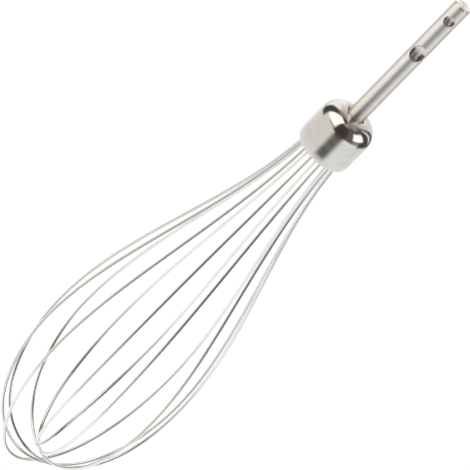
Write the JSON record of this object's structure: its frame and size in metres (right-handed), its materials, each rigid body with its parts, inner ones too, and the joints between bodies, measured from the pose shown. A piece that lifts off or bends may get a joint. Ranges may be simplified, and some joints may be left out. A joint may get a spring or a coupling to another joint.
{
  "type": "balloon whisk",
  "caption": "Balloon whisk attachment: wire loops held in a polished steel ferrule on a round drive shaft with two pin pockets.",
  "frame": {"origin": "centre of the drive shaft's end face", "axes": "+Z along the whisk's axis, out of the drive shaft's end; the wire cage hangs towards -Z; the shaft's round and oblong pockets open towards -Y"},
  "size_m": [0.0712, 0.0683, 0.2915],
  "materials": {
    "shaft_steel": "fine ground stainless steel",
    "ferrule_steel": "polished deep-drawn stainless steel",
    "wire_steel": "drawn and electropolished stainless wire",
    "fastener_steel": "plain stainless steel",
    "hub_plastic": "machined food-grade plastic",
    "seal_resin": "cast food-grade resin",
    "oring_rubber": "smooth rubber"
  },
  "bodies": {
    "root": {"drive_shaft": "shaft_steel", "cross_pin": "fastener_steel", "crown_washer": "fastener_steel", "shaft_oring": "oring_rubber", "retaining_ring": "fastener_steel", "ferrule": "ferrule_steel", "wire_hub": "hub_plastic", "mouth_seal": "seal_resin", "whisk_loop_1": "wire_steel", "whisk_loop_2": "wire_steel", "whisk_loop_3": "wire_steel", "whisk_loop_4": "wire_steel", "whisk_loop_5": "wire_steel", "whisk_loop_6": "wire_steel"}
  },
  "joints": []
}
